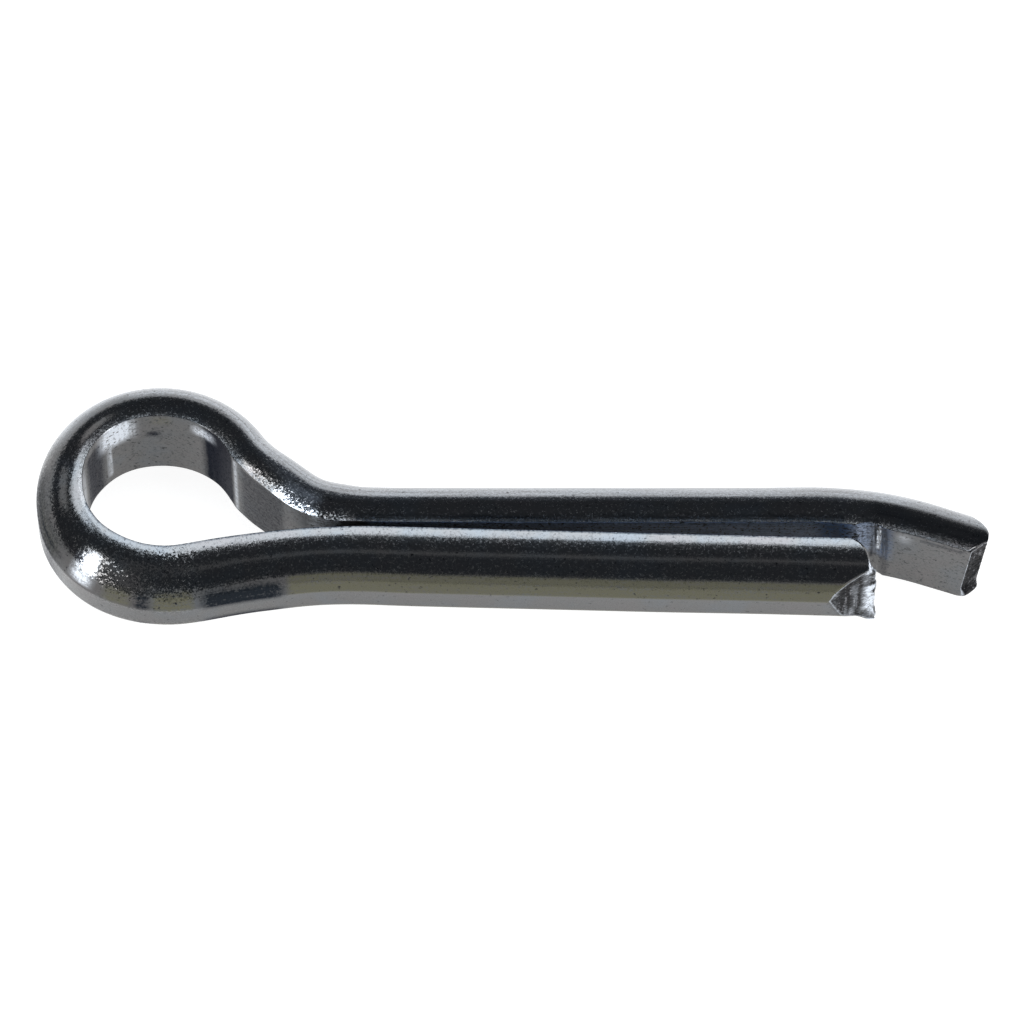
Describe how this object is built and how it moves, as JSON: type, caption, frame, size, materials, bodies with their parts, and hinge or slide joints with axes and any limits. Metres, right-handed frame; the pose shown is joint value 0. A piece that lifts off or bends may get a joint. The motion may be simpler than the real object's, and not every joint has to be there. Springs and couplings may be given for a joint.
{
  "type": "split cotter pin",
  "caption": "Split cotter pin folded from half-round steel wire, with a teardrop eye and a straight split shank whose legs end unevenly, for locking a nut or clevis pin through a cross hole.",
  "frame": {"origin": "on the shank's axis, in the plane where the eye's shoulder sits against the rim of its hole", "axes": "+X along the shank towards the free ends, +Z along the axis of the eye, at right angles to the plane the wire is folded in, +Y across the legs from the short one to the long one"},
  "size_m": [0.0604, 0.0155, 0.0078],
  "materials": {
    "zinc_plated_steel": "bright zinc plate with a faint blue cast, fine drawing marks and small pits"
  },
  "bodies": {
    "root": {"cotter_pin": "zinc_plated_steel"}
  },
  "joints": []
}
